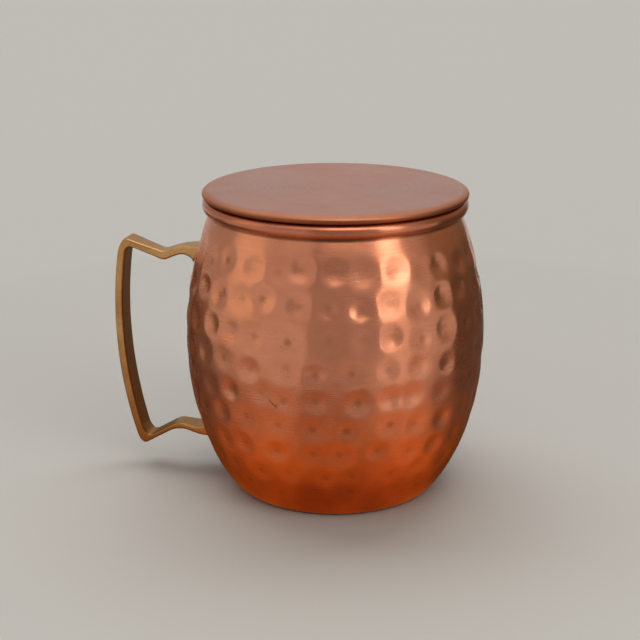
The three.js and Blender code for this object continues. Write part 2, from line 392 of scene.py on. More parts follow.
def bands(rows, count, closed=False):
    """Quads between rows of points that each go once round. closed joins the last to the first."""
    here = np.arange(count)
    following = (here + 1) % count
    faces = []
    for row in range(rows if closed else rows - 1):
        low, high = row * count, (row + 1) % rows * count
        quads = np.column_stack([low + here, low + following, high + following, high + here])
        faces += quads.tolist()
    return faces


def capped_bands(rows, count):
    """Quads between rows of points that each go once round, and a fan at each end.

    The middles of the two fans are the two points that follow the rows.
    """
    here = np.arange(count)
    following = (here + 1) % count
    last = (rows - 1) * count
    middle = np.full(count, rows * count)
    fans = [
        np.column_stack([following, here, middle]),
        np.column_stack([last + here, last + following, middle + 1]),
    ]
    return bands(rows, count) + np.vstack(fans).tolist()


def turned(name, profile, body, offset=(0, 0), attributes=None):
    """A closed body of revolution.

    The profile leaves the axis and comes back to it with the metal on its left. offset is how far
    each point of its rows by segments moves, as (outwards, upwards). attributes are named values,
    one for each row or one for each point.
    """
    rows = np.asarray(profile, float)
    shape = (len(rows), ROUND_SEGMENTS)
    angles = 2 * np.pi * np.arange(ROUND_SEGMENTS) / ROUND_SEGMENTS
    radius = np.broadcast_to(rows[:, :1] + offset[0], shape)[1:-1]
    height = np.broadcast_to(rows[:, 1:] + offset[1], shape)[1:-1]
    grid = np.stack([radius * np.cos(angles), radius * np.sin(angles), height], axis=-1)
    points = np.vstack([grid.reshape(-1, 3), [0, 0, rows[0, 1]], [0, 0, rows[-1, 1]]])
    faces = capped_bands(len(radius), ROUND_SEGMENTS)
    values = {
        label: np.append(np.broadcast_to(value, shape)[1:-1], [0, 0])
        for label, value in (attributes or {}).items()
    }
    return object_from(name, points, faces, body, values)


# ---- barrel

def make_dents():
    """One row of numbers for each hammer mark: turn, height, radius, depth and pip strength."""
    dents = []
    for height, number, first, depth in DENT_ROWS:
        for i in range(number):
            jitter = random_source.normal(0, 1, 5)
            spread = np.clip(jitter[2:4], -JITTER_LIMIT, JITTER_LIMIT)
            turn = CAMERA_TURN + first + 360 * i / number + DENT_TURN_JITTER * jitter[0]
            dents.append((
                math.radians(turn),
                height + DENT_HEIGHT_JITTER * jitter[1],
                DENT_RADIUS * (1 + DENT_RADIUS_JITTER * spread[0]),
                depth * (1 + DENT_DEPTH_JITTER * spread[1]),
                np.clip(PIP_STRENGTH + PIP_STRENGTH_JITTER * jitter[4], *PIP_STRENGTH_RANGE),
            ))
    return np.array(dents)


def no_pips(shape):
    """Places far from any pip: how far across and along the sheet, and strength 0."""
    near_pip = np.full((3, *shape), FAR_OFF)
    near_pip[2] = 0
    return near_pip


def dent_field(turns, heights, dents):
    """The hammering on a grid of heights by turns.

    Gives its depth, and near the middle of a mark how far that is, across and along the sheet,
    with the strength of its pip.
    """
    shape = (len(heights), len(turns))
    depth = np.zeros(shape)
    near_pip = no_pips(shape)
    for turn, height, radius, deep, pip in dents:
        near = np.abs(heights - height) < DENT_REACH * radius
        if not near.any():
            continue
        along = (heights[near] - height) * math.hypot(1, float(barrel_slope(height)))
        around = (turns - turn + math.pi) % (2 * math.pi) - math.pi
        across = around * float(barrel_radius(height))
        distance = np.hypot(along[:, None], across[None, :])
        bowl = (1 - (distance / radius)**2) / DENT_SHOULDER
        depth[near] += deep * DENT_SHOULDER * np.logaddexp(0, bowl)
        depth[near] += PIP_DEPTH * pip * np.exp(-(distance / PIP_RADIUS)**2)
        inside = distance < PIP_REACH
        near_pip[0, near] = np.where(inside, across[None, :], near_pip[0, near])
        near_pip[1, near] = np.where(inside, along[:, None], near_pip[1, near])
        near_pip[2, near] = np.where(distance < PIP_REACH + PIP_MARGIN, pip, near_pip[2, near])
    return depth, near_pip


def rim_profile():
    """The rolled rim: up inside the bead, round its hollow to the sheet's end, back outside."""
    inner = (MOUTH_RADIUS + RIM_INNER_CORNER, RIM_TOP - RIM_INNER_CORNER)
    outer = (RIM_RADIUS - RIM_OUTER_CORNER, RIM_TOP - RIM_OUTER_CORNER)
    lower = (RIM_RADIUS - RIM_LOWER_CORNER, RIM_BOTTOM + RIM_LOWER_CORNER)
    end_upper = (RIM_END_RADIUS + RIM_END_CORNER, RIM_BOTTOM + SHEET - RIM_END_CORNER)
    end_lower = (RIM_END_RADIUS + RIM_END_CORNER, RIM_BOTTOM + RIM_END_CORNER)
    return np.vstack([
        [(MOUTH_RADIUS + SHEET, RIM_START_HEIGHT)],
        arc(inner, RIM_INNER_CORNER - SHEET, 180, 90, steps=3),
        arc(outer, RIM_OUTER_CORNER - SHEET, 90, 0, steps=4),
        arc(lower, RIM_LOWER_CORNER - SHEET, 0, -90, steps=4),
        arc(end_upper, RIM_END_CORNER, 90, 180, steps=3),
        arc(end_lower, RIM_END_CORNER, 180, 270, steps=3),
        arc(lower, RIM_LOWER_CORNER, -90, 0, steps=9),
        arc(outer, RIM_OUTER_CORNER, 0, 90, steps=9),
        [((outer[0] + inner[0]) / 2, RIM_TOP)],
        arc(inner, RIM_INNER_CORNER, 90, 180),
        [(MOUTH_RADIUS, RIM_START_HEIGHT)],
    ])


def barrel_stretches():
    """The barrel's profile in stretches: (points, (heights, share of the dents' depth) or None)."""
    outer_heights = np.linspace(FOOT_CORNER_HEIGHT, NECK_HEIGHT, OUTER_WALL_ROWS)
    inner_heights = np.linspace(NECK_HEIGHT, FOOT_CORNER_HEIGHT, INNER_WALL_ROWS)
    outer_wall = barrel_wall(outer_heights, 0)
    inner_wall = barrel_wall(inner_heights, SHEET)
    return [
        ([(0, 0)], None),
        (straight((0, 0), (FOOT_FLAT_RADIUS, 0), pitch=3.0), None),
        (foot_corner(0, outer_wall[0])[:-1], None),
        (outer_wall, (outer_heights, 1.0)),
        (rim_profile(), None),
        (inner_wall, (inner_heights, INNER_DENT_SHARE)),
        (foot_corner(SHEET, inner_wall[-1])[::-1][1:], None),
        (straight((FOOT_FLAT_RADIUS, SHEET), (0, SHEET), pitch=3.0), None),
        ([(0, SHEET)], None),
    ]


def hammered_grid(stretches, dents):
    """What the hammering does to the grid of the profile's rows by segments.

    Gives how far it moves each point, as (outwards, upwards), what dent_field says of the pips,
    and 1 on the inner wall.
    """
    turns = 2 * np.pi * np.arange(ROUND_SEGMENTS) / ROUND_SEGMENTS + np.pi / 2  # from -Y
    shape = (sum(len(points) for points, _ in stretches), ROUND_SEGMENTS)
    outwards, upwards, inside = np.zeros(shape), np.zeros(shape), np.zeros(shape)
    near_pip = no_pips(shape)
    row = 0
    for points, dented in stretches:
        if dented is not None:
            heights, share = dented
            depth, near = dent_field(turns, heights, dents)
            slope = barrel_slope(heights)[:, None]
            length = np.hypot(1, slope)
            rows = slice(row, row + len(points))
            outwards[rows] = -share * depth / length
            upwards[rows] = share * depth * slope / length
            near_pip[:, rows] = near
            inside[rows] = share < 1
        row += len(points)
    return (outwards, upwards), near_pip, inside


def make_barrel(dents):
    """The hammered cup with its rolled rim."""
    stretches = barrel_stretches()
    profile = np.vstack([points for points, _ in stretches])
    offset, near_pip, inside = hammered_grid(stretches, dents)
    attributes = {
        "pip_across": near_pip[0],
        "pip_along": near_pip[1],
        "pip_strength": near_pip[2],
        "crease": crease_shade_mask(profile),
        "bead": rim_bead(profile),
        "inside": inside,
    }
    piece = turned("hammered_barrel", profile, "mug", offset, attributes)
    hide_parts("barrel")
    return piece


def rim_bead(profile):
    """1 for the profile's rows on the rolled rim, 0 for those on the wall below it."""
    return smoothstep(profile[:, 1:], *BEAD_FADE)


def crease_shade_mask(profile):
    """How deep each row of the profile lies in the corner under the rolled rim, 0 to 1, where
    painted shade goes.
    """
    distance, height = profile[:, :1], profile[:, 1:]
    below = np.exp(-((height - CREASE_HEIGHT) / CREASE_SPREAD)**2)
    under_bead = 1 - smoothstep(height, *UNDER_BEAD_FADE)
    outside = (distance > MOUTH_RADIUS + SHEET / 2) * 1.0
    return np.where(height < CREASE_TOP, below, under_bead) * outside


# ---- lid

def make_lid_cover():
    """The lid's flat top sheet, with its edge hemmed over."""
    upper = (LID_RADIUS - COVER_UPPER_CORNER, LID_TOP - COVER_UPPER_CORNER)
    lower = (LID_RADIUS - COVER_LOWER_CORNER, LID_BOTTOM + COVER_LOWER_CORNER)
    hem_top = LID_BOTTOM + COVER_SHEET
    hem_corner = COVER_SHEET / 2
    hem_centre = (HEM_INNER_RADIUS + hem_corner, LID_BOTTOM + hem_corner)
    ceiling = LID_TOP - COVER_SHEET
    profile = np.vstack([
        [(0, ceiling)],
        straight((0, ceiling), (upper[0], ceiling), pitch=3.0),
        arc(upper, COVER_UPPER_CORNER - COVER_SHEET, 90, 0, steps=5),
        arc(lower, COVER_LOWER_CORNER - COVER_SHEET, 0, -90, steps=4),
        straight((lower[0], hem_top), (hem_centre[0], hem_top), pitch=0.6, margin=0.1),
        arc(hem_centre, hem_corner, 90, 270),
        straight((hem_centre[0], LID_BOTTOM), (lower[0], LID_BOTTOM), pitch=0.6, margin=0.1),
        arc(lower, COVER_LOWER_CORNER, -90, 0),
        shoulder((LID_RADIUS, LID_TOP), *COVER_SHOULDER),
        straight((LID_RADIUS - COVER_SHOULDER[0], LID_TOP), (0, LID_TOP), pitch=2.0),
        [(0, LID_TOP)],
    ])
    # Masks for the painted shade on the lid's rounded edge and side; the edge is also rougher
    edge = smoothstep(profile[:, :1], *LID_EDGE_FADE)
    side = edge * (1 - smoothstep(profile[:, 1:], *LID_SIDE_FADE))
    piece = turned("pressed_lid", profile, "lid", attributes={"edge": edge, "side": side})
    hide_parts("lid_cover")
    return piece


def make_lid_plug():
    """The shallow pan under the lid, with a flange that reaches into the cover's hem."""
    flange_top = PLUG_FLANGE_BOTTOM + PLUG_SHEET
    bend = PLUG_SHEET
    inside = PLUG_RADIUS - PLUG_SHEET
    floor_centre = (PLUG_RADIUS - PLUG_CORNER, PLUG_BOTTOM + PLUG_CORNER)
    floor_top = PLUG_BOTTOM + PLUG_SHEET
    bend_centre = (PLUG_RADIUS + bend, PLUG_FLANGE_BOTTOM - bend)
    edge_corner = PLUG_SHEET / 2
    edge_centre = (PLUG_FLANGE_RADIUS - edge_corner, PLUG_FLANGE_BOTTOM + edge_corner)
    profile = np.vstack([
        [(0, PLUG_BOTTOM)],
        straight((0, PLUG_BOTTOM), (floor_centre[0], PLUG_BOTTOM), pitch=2.0),
        arc(floor_centre, PLUG_CORNER, -90, 0),
        straight((PLUG_RADIUS, floor_centre[1]), (PLUG_RADIUS, bend_centre[1]), pitch=1.0),
        arc(bend_centre, bend, 180, 90, steps=5),
        arc(edge_centre, edge_corner, -90, 90, steps=6),
        straight((edge_centre[0], flange_top), (bend_centre[0], flange_top), pitch=0.8),
        arc(bend_centre, bend + PLUG_SHEET, 90, 180, steps=6),
        straight((inside, bend_centre[1]), (inside, floor_centre[1]), pitch=1.0),
        arc(floor_centre, PLUG_CORNER - PLUG_SHEET, 0, -90, steps=5),
        straight((floor_centre[0], floor_top), (0, floor_top), pitch=3.0),
        [(0, floor_top)],
    ])
    piece = turned("lid_pan", profile, "lid")
    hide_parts("lid_plug")
    return piece


# ---- handle

def on_grip(height, depth):
    """A place on the grip, depth inside its outer face, as (distance from the axis, height)."""
    radius = GRIP_ARC_RADIUS - depth
    centre = GRIP_OUTER_DISTANCE - GRIP_ARC_RADIUS
    return centre + math.sqrt(radius**2 - (height - GRIP_CROWN_HEIGHT)**2), height


def grip_line(start, end, depth, steps=24):
    """Points down the grip between two heights."""
    return np.array([on_grip(height, depth) for height in np.linspace(start, end, steps + 1)])


def handle_chains():
    """The outer and the inner line of the strap, from the upper root to the lower, in stretches.

    Places are (distance from the axis, height).
    """
    thick = GRIP_THICKNESS
    outer = [
        np.vstack([[(41, 77.3)], bezier((50, 76.9), (52, 76.5), (54.2, 75.7))]),
        bezier((55.9, 75.05), (57, 74.65), (58.2, 75.05)),
        bezier((68.4, 78.5), (70.6, 79.2), on_grip(74, 0)),
        grip_line(70, 12, 0),
        bezier(on_grip(9.4, 0), (66, 6.4), (64.2, 7.5)),
        bezier((55.6, 12.4), (53.2, 13.3), (50.8, 12.9)),
        np.array([(45.8, 12), (37, 11.6)]),
    ]
    inner = [
        np.vstack([[(41, 69.8), (44, 70.4)], bezier((46.4, 72.4), (49.6, 75), (53.4, 73))]),
        bezier((55.6, 72), (57, 71.5), (58.4, 72.1)),
        bezier((67, 75.6), (68.5, 76.1), on_grip(74.2, thick)),
        grip_line(72, 18, thick),
        bezier(on_grip(13.6, thick), (64.4, 9.3), (62, 10.6)),
        bezier((55.4, 14.5), (53.2, 15.7), (51.2, 15.2)),
        np.vstack([bezier((47.4, 14.7), (44.2, 14.9), (41.2, 17.5)), [(37, 18)]]),
    ]
    return outer, inner


def stations_along(chain, shares):
    """Places along a chain of stretches. Equal shares lie between the middles of its stretches."""
    line = np.vstack(chain)
    steps = np.linalg.norm(np.diff(line, axis=0), axis=1)
    along = np.append(0, np.cumsum(steps))
    middles = []
    first = 0
    for stretch in chain:
        last = first + len(stretch) - 1
        middles.append((along[first] + along[last]) / 2)
        first = last + 1
    middles[0], middles[-1] = 0.0, along[-1]
    places = np.interp(shares, np.linspace(0, 1, len(middles)), middles)
    return np.column_stack([np.interp(places, along, line[:, k]) for k in range(2)])


def smoothstep(value, low, high):
    """0 up to low, 1 from high on, and a smooth change between them."""
    share = np.clip((value - low) / (high - low), 0, 1)
    return share * share * (3 - 2 * share)


def strap_width(distance, height):
    """Width of the strap across its plane: widest at the roots, narrowest along the arms."""
    arm = LOWER_ARM_WIDTH + (UPPER_ARM_WIDTH - LOWER_ARM_WIDTH) * smoothstep(height, *ARM_CHANGE)
    root = (ROOT_WIDTH - arm) * (1 - smoothstep(distance, *ROOT_CHANGE))
    grip = (GRIP_WIDTH - arm) * smoothstep(distance, *GRIP_CHANGE)
    return arm + root + grip


def strap_section(corner_steps=5, side_steps=6, edge_steps=3):
    """A rounded oblong as corner centre signs and corner directions, once round."""
    signs, directions = [], []
    corners = ((1, 1, 0), (-1, 1, 90), (-1, -1, 180), (1, -1, 270))
    for index, (across, through, start) in enumerate(corners):
        for k in range(corner_steps + 1):
            angle = math.radians(start + 90 * k / corner_steps)
            signs.append((across, through))
            directions.append((math.cos(angle), math.sin(angle)))
        following = corners[(index + 1) % 4]
        steps = side_steps if following[1] == through else edge_steps
        end = math.radians(start + 90)
        for k in range(1, steps):
            share = k / steps
            signs.append((
                across + (following[0] - across) * share,
                through + (following[1] - through) * share,
            ))
            directions.append((math.cos(end), math.sin(end)))
    return np.array(signs), np.array(directions)


def make_handle():
    """The cast strap: rounded oblong sections from the upper root to the lower."""
    outer_chain, inner_chain = handle_chains()
    shares = np.linspace(0, 1, HANDLE_STATIONS)
    outer = stations_along(outer_chain, shares)
    inner = stations_along(inner_chain, shares)
    middle = (outer + inner) / 2
    through = outer - inner
    thickness = np.linalg.norm(through, axis=1)
    through /= thickness[:, None]
    width = strap_width(middle[:, 0], middle[:, 1])
    signs, directions = strap_section()
    rings = []
    for i in range(HANDLE_STATIONS):
        half_width = width[i] / 2 - HANDLE_EDGE
        half_thick = thickness[i] / 2 - HANDLE_EDGE
        across = signs[:, 0] * half_width + directions[:, 0] * HANDLE_EDGE
        depth = signs[:, 1] * half_thick + directions[:, 1] * HANDLE_EDGE
        distance = middle[i, 0] + depth * through[i, 0]
        height = middle[i, 1] + depth * through[i, 1]
        rings.append(np.column_stack([-distance, across, height]))
    rings = np.array(rings)
    flatten_onto_barrel(rings)
    # Masks: the inner face, facing the barrel, carries painted shade; the outer face is made darker
    inner_face = np.repeat(np.clip(-directions[None, :, 1], 0, 1), HANDLE_STATIONS, axis=0)
    outer_face = np.clip(directions[None, :, 1], 0, 1)**OUTER_FACE_FOCUS
    outer_face = np.repeat(outer_face, HANDLE_STATIONS, axis=0)
    faces = {"inner_face": inner_face, "outer_face": outer_face}
    piece = tube_between("cast_handle", rings, "mug", faces)
    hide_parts("handle")
    return piece


def flatten_onto_barrel(rings):
    """Stops both roots just outside the barrel, following its curve."""
    for ring in rings:
        surface = np.sqrt((barrel_radius(ring[:, 2]) + ROOT_GAP)**2 - ring[:, 1]**2)
        ring[:, 0] = np.minimum(ring[:, 0], -surface)


def tube_between(name, rings, body, attributes):
    """A closed body through rings of points that go round the other way, with its ends closed."""
    points = np.vstack([rings.reshape(-1, 3), rings[0].mean(axis=0), rings[-1].mean(axis=0)])
    faces = [(b, a, *others[::-1]) for a, b, *others in capped_bands(*rings.shape[:2])]
    values = {label: np.append(value, [0, 0]) for label, value in attributes.items()}
    return object_from(name, points, faces, body, values)


# ---- braze fillets

def make_braze(node_name):
    """A thin collar of filler in the corner between a root of the handle and the barrel."""
    low_height, high_height, width = BRAZE_ROOTS[node_name]
    half_width = width / 2
    half_height = (high_height - low_height) / 2
    centre_height = (high_height + low_height) / 2
    signs, directions = strap_section(corner_steps=8, side_steps=10, edge_steps=8)
    rings = []
    for k in range(len(signs)):
        reach = braze_reach(k)
        ring = []
        for outwards, proud in BRAZE_SECTION:
            corner = HANDLE_EDGE + outwards * reach
            across = signs[k, 0] * (half_width - HANDLE_EDGE) + directions[k, 0] * corner
            height = centre_height + signs[k, 1] * (half_height - HANDLE_EDGE)
            height = height + directions[k, 1] * corner
            radius = float(barrel_radius(height)) + proud * reach
            ring.append((-math.sqrt(radius**2 - across**2), across, height))
        rings.append(ring)
    faces = bands(len(rings), len(BRAZE_SECTION), closed=True)
    piece = object_from(node_name + "_fillet", np.vstack(rings), faces, "mug")
    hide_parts(node_name)
    return piece


def braze_reach(k):
    """How far the filler spreads at one point round the root, a little more or less in waves."""
    reach = 1.0
    for share, rate, start in BRAZE_WAVES:
        reach += share * math.sin(rate * k + start)
    return BRAZE_REACH * reach


# ---- node helpers

def new_material(name):
    """A material that uses nodes, with its node tree."""
    material = bpy.data.materials.new(name)
    material.use_nodes = True
    return material, material.node_tree


def node(tree, kind, **settings):
    """A new node, with some of its settings."""
    made = tree.nodes.new(kind)
    for key, value in settings.items():
        setattr(made, key, value)
    return made


def plug_in(tree, socket, value):
    """Links a socket to another, or sets it to a number, a vector or a colour."""
    if isinstance(value, bpy.types.NodeSocket):
        tree.links.new(value, socket)
    elif hasattr(value, "__len__") and len(value) == 3 and socket.type == "RGBA":
        socket.default_value = (*value, 1)
    else:
        socket.default_value = value


def math_node(tree, operation, *values):
    """The result of one sum."""
    made = node(tree, "ShaderNodeMath", operation=operation)
    for socket, value in zip(made.inputs, values):
        plug_in(tree, socket, value)
    return made.outputs[0]


def add(tree, *values):
    """The sum of any number of values."""
    total = values[0]
    for value in values[1:]:
        total = math_node(tree, "ADD", total, value)
    return total


def multiply(tree, first, second):
    """The first times the second."""
    return math_node(tree, "MULTIPLY", first, second)


def multiply_add(tree, first, second, added):
    """The first times the second, plus what is added."""
    return math_node(tree, "MULTIPLY_ADD", first, second, added)


def hypotenuse(tree, first, second):
    """How far a place is that lies first one way and second square to it."""
    square = multiply(tree, first, first)
    return math_node(tree, "SQRT", multiply_add(tree, second, second, square))


def remap(tree, value, low, high, start=0.0, end=1.0):
    """start up to low, end from high on, and a smooth change between them."""
    made = node(tree, "ShaderNodeMapRange", interpolation_type="SMOOTHSTEP")
    names = ("Value", "From Min", "From Max", "To Min", "To Max")
    for name, given in zip(names, (value, low, high, start, end)):
        plug_in(tree, made.inputs[name], given)
    return made.outputs["Result"]


def window(tree, value, low, high, soft):
    """1 between low and high, with a change soft wide, centred on each, down to 0 outside."""
    rising = remap(tree, value, low - soft / 2, low + soft / 2)
    falling = remap(tree, value, high - soft / 2, high + soft / 2, 1.0, 0.0)
    return multiply(tree, rising, falling)


def mix_colour(tree, factor, first, second):
    """The first colour where the factor is 0, the second where it is 1."""
    made = node(tree, "ShaderNodeMix", data_type="RGBA")
    plug_in(tree, made.inputs["Factor"], factor)
    plug_in(tree, made.inputs[6], first)
    plug_in(tree, made.inputs[7], second)
    return made.outputs[2]


def noise(tree, vector, scale, detail=3.0, roughness=0.5):
    """Noise between 0 and 1, mostly near a half."""
    made = node(tree, "ShaderNodeTexNoise")
    plug_in(tree, made.inputs["Vector"], vector)
    plug_in(tree, made.inputs["Scale"], scale)
    plug_in(tree, made.inputs["Detail"], detail)
    plug_in(tree, made.inputs["Roughness"], roughness)
    return made.outputs["Fac"]


def vertex_value(tree, label):
    """A value that the mesh carries, or 0 where the mesh has none of that name."""
    made = node(tree, "ShaderNodeAttribute", attribute_name=label)
    return made.outputs["Fac"]


def axes(tree, vector):
    """The x, y and z of a vector."""
    made = node(tree, "ShaderNodeSeparateXYZ")
    tree.links.new(vector, made.inputs[0])
    return tuple(made.outputs)


def object_place(tree):
    """The place in the object, as a vector and as x, y and z."""
    place = node(tree, "ShaderNodeTexCoord").outputs["Object"]
    return place, *axes(tree, place)


def turn_in_degrees(tree, x, y):
    """Turn of a direction to the right of -Y."""
    forward = multiply(tree, y, -1.0)
    angle = math_node(tree, "ARCTAN2", x, forward)
    return multiply(tree, angle, math.degrees(1))


def bump_layers(tree, *layers):
    """Height maps laid over each other: (height, distance in metres) each."""
    normal = None
    for height, distance in layers:
        made = node(tree, "ShaderNodeBump")
        made.inputs["Distance"].default_value = distance
        plug_in(tree, made.inputs["Height"], height)
        if normal is not None:
            tree.links.new(normal, made.inputs["Normal"])
        normal = made.outputs["Normal"]
    return normal


def glowing(name):
    """A material that only gives off light: (material, its nodes, its shader)."""
    material, tree = new_material(name)
    tree.nodes.clear()
    emission = node(tree, "ShaderNodeEmission")
    output = node(tree, "ShaderNodeOutputMaterial")
    tree.links.new(emission.outputs[0], output.inputs["Surface"])
    return material, tree, emission


def give(piece, material):
    """Makes a piece all of one material."""
    piece.data.materials.clear()
    piece.data.materials.append(material)


# ---- metals

def metal(name, anisotropy=0.0):
    """An empty metal, with highlights stretched square to its turned brushing, if it has any.

    Gives (material, its nodes, its shader).
    """
    material, tree = new_material(name)
    shader = tree.nodes["Principled BSDF"]
    shader.inputs["Metallic"].default_value = 1.0
    if anisotropy:
        shader.inputs["Anisotropic"].default_value = anisotropy
        shader.inputs["Anisotropic Rotation"].default_value = QUARTER_TURN
        tangent = node(tree, "ShaderNodeTangent", direction_type="RADIAL", axis="Z")
        tree.links.new(tangent.outputs["Tangent"], shader.inputs["Tangent"])
    return material, tree, shader


def turned_brushing(tree, x, y, z):
    """Noise drawn out round the Z axis."""
    out = math_node(tree, "ADD", hypotenuse(tree, x, y), z)
    made = node(tree, "ShaderNodeCombineXYZ")
    plug_in(tree, made.inputs[0], multiply(tree, x, BRUSH_SCALE_AROUND))
    plug_in(tree, made.inputs[1], multiply(tree, y, BRUSH_SCALE_AROUND))
    plug_in(tree, made.inputs[2], multiply(tree, out, BRUSH_SCALE_ACROSS))
    return noise(tree, made.outputs[0], 1.0, detail=4.0, roughness=0.7)


def copper(name, fresh, roughness, anisotropy, hammered):
    """Brushed copper: turned brushing, cloudy tarnishing, darker marks in the hammered pits,
    painted shade towards the foot, and painted shade on the lid's edge and side.
    """
    material, tree, shader = metal(name, anisotropy)
    place, x, y, z = object_place(tree)
    brushed = turned_brushing(tree, x, y, z)
    clouds = noise(tree, place, CLOUD_SCALE, detail=3.0, roughness=0.55)
    mottle = noise(tree, place, MOTTLE_SCALE, detail=2.0, roughness=0.5)
    tarnish_and_shade = add(
        tree,
        remap(tree, clouds, *CLOUD_TARNISH),
        remap(tree, brushed, *BRUSH_TARNISH),
        remap(tree, mottle, *MOTTLE_TARNISH),
    )
    smoother, rougher = BRUSH_ROUGHNESS
    rough = remap(tree, brushed, *NOISE_MIDDLE, roughness + smoother, roughness + rougher)
    rough = add(tree, rough, remap(tree, clouds, *CLOUD_ROUGHNESS))
    rough = multiply_add(tree, vertex_value(tree, "edge"), EDGE_ROUGHNESS, rough)
    layers = [(noise(tree, place, WAVE_SCALE, detail=1.0), WAVE_BUMP), (brushed, BRUSH_BUMP)]
    if hammered:
        pip = pip_share(tree, mottle)
        # Painted shade: darker towards the foot
        tarnish_and_shade = add(tree, tarnish_and_shade, remap(tree, z, *FOOT_PAINTED_SHADE))
        rough = multiply_add(tree, pip, PIP_ROUGHNESS, rough)
        layers.insert(0, (multiply(tree, pip, -1.0), PIP_BUMP))
    tarnish_and_shade = math_node(tree, "MINIMUM", tarnish_and_shade, 1.0)
    # Painted shade: darker copper on the lid's rounded edge and on its side
    fresh = mix_colour(tree, vertex_value(tree, "edge"), fresh, LID_EDGE_SHADE_COPPER)
    fresh = mix_colour(tree, vertex_value(tree, "side"), fresh, LID_SIDE_SHADE_COPPER)
    colour = mix_colour(tree, tarnish_and_shade, fresh, AGED_COPPER)
    if hammered:
        colour = barrel_colours(tree, colour, place, pip)
    plug_in(tree, shader.inputs["Base Color"], colour)
    plug_in(tree, shader.inputs["Roughness"], rough)
    tree.links.new(bump_layers(tree, *layers), shader.inputs["Normal"])
    return material


def pip_share(tree, mottle):
    """How much of the ragged pip in the middle of a hammer mark a place has."""
    distance = hypotenuse(tree, vertex_value(tree, "pip_across"), vertex_value(tree, "pip_along"))
    ragged = multiply_add(tree, mottle, PIP_RAGGEDNESS, -PIP_RAGGEDNESS / 2)
    pip = remap(tree, add(tree, distance, ragged), 0.0, PIP_EXTENT, 1.0, 0.0)
    return multiply(tree, pip, vertex_value(tree, "pip_strength"))


def barrel_colours(tree, colour, place, pip):
    """Lays more colours over the barrel's copper: pips, scratch, darker bead, painted shade in the
    crease under the rim, and the inside.
    """
    overlays = (
        (multiply(tree, pip, PIP_SHARE), PIP_COPPER),
        (multiply(tree, nick(tree, place), NICK_SHARE), NICK_COLOUR),
        (multiply(tree, vertex_value(tree, "bead"), BEAD_SHARE), BEAD_COPPER),
        # Painted shade in the crease under the rolled rim
        (vertex_value(tree, "crease"), CREASE_SHADE_COPPER),
        (vertex_value(tree, "inside"), INNER_COPPER),
    )
    for share, shade in overlays:
        colour = mix_colour(tree, share, colour, shade)
    return colour


def nick(tree, place):
    """Where a small scratch low on the front of the barrel has tarnished."""
    x, y, z = axes(tree, place)
    turn = math_node(tree, "SUBTRACT", turn_in_degrees(tree, x, y), NICK_TURN)
    arc_length = math.radians(float(barrel_radius(NICK_HEIGHT)))
    across = multiply(tree, turn, arc_length)
    up = multiply_add(tree, z, 1 / METRES, -NICK_HEIGHT)
    total = 0.0
    for middle_across, middle_up, lean, length, width in NICK_STROKES:
        u = math_node(tree, "SUBTRACT", across, middle_across)
        v = math_node(tree, "SUBTRACT", up, middle_up)
        cos, sin = math.cos(math.radians(lean)), math.sin(math.radians(lean))
        along = multiply_add(tree, v, sin, multiply(tree, u, cos))
        aside = multiply_add(tree, v, cos, multiply(tree, u, -sin))
        ends = inside_stroke(tree, along, length, NICK_END_FADE)
        sides = inside_stroke(tree, aside, width, NICK_SIDE_FADE)
        total = math_node(tree, "MAXIMUM", total, multiply(tree, ends, sides))
    return total


def inside_stroke(tree, offset, size, fade):
    """1 in the middle of a stroke, down to 0 between the two shares of its size in fade."""
    distance = math_node(tree, "ABSOLUTE", offset)
    return remap(tree, distance, fade[0] * size, fade[1] * size, 1.0, 0.0)


def cast_brass(name, fresh, aged, roughness, strap):
    """Sand-cast brass, filed and handled: faint pits and cloudy tarnishing, with painted shade on
    the strap's inner face and a darker outer face.
    """
    material, tree, shader = metal(name)
    place = node(tree, "ShaderNodeTexCoord").outputs["Object"]
    clouds = noise(tree, place, CAST_CLOUD_SCALE, detail=4.0, roughness=0.6)
    grain = noise(tree, place, CAST_GRAIN_SCALE, detail=3.0, roughness=0.6)
    tarnish_and_shade = add(
        tree,
        remap(tree, clouds, *CAST_CLOUD_TARNISH),
        remap(tree, grain, *CAST_GRAIN_TARNISH),
    )
    if strap:
        # Painted shade on the strap's inner face
        inside = multiply(tree, vertex_value(tree, "inner_face"), INNER_FACE_SHADE)
        # The outer face is made darker
        outside = multiply(tree, vertex_value(tree, "outer_face"), OUTER_FACE_DARKENING)
        tarnish_and_shade = add(tree, tarnish_and_shade, inside, outside)
    tarnish_and_shade = math_node(tree, "MINIMUM", tarnish_and_shade, 1.0)
    plug_in(tree, shader.inputs["Base Color"], mix_colour(tree, tarnish_and_shade, fresh, aged))
    smoother, rougher = CAST_GRAIN_ROUGHNESS
    rough = remap(tree, grain, *NOISE_MIDDLE, roughness + smoother, roughness + rougher)
    rough = add(tree, rough, remap(tree, clouds, *CAST_CLOUD_ROUGHNESS))
    plug_in(tree, shader.inputs["Roughness"], rough)
    waves = noise(tree, place, CAST_WAVE_SCALE, detail=2.0)
    normal = bump_layers(tree, (waves, CAST_WAVE_BUMP), (grain, CAST_GRAIN_BUMP))
    tree.links.new(normal, shader.inputs["Normal"])
    return material


# ---- stage, light and camera

def make_floor():
    """A wide round floor, plain and pale, just below the mug."""
    bpy.ops.mesh.primitive_circle_add(
        vertices=FLOOR_SEGMENTS, radius=FLOOR_RADIUS, fill_type="NGON")
    floor = bpy.context.object
    floor.name = "floor"
    floor.location.z = -FLOOR_GAP
    material, tree = new_material("pale_floor")
    shader = tree.nodes["Principled BSDF"]
    shader.inputs["Base Color"].default_value = (*FLOOR_COLOUR, 1)
    shader.inputs["Roughness"].default_value = FLOOR_ROUGHNESS
    shader.inputs["Specular IOR Level"].default_value = FLOOR_SPECULAR
    give(floor, material)


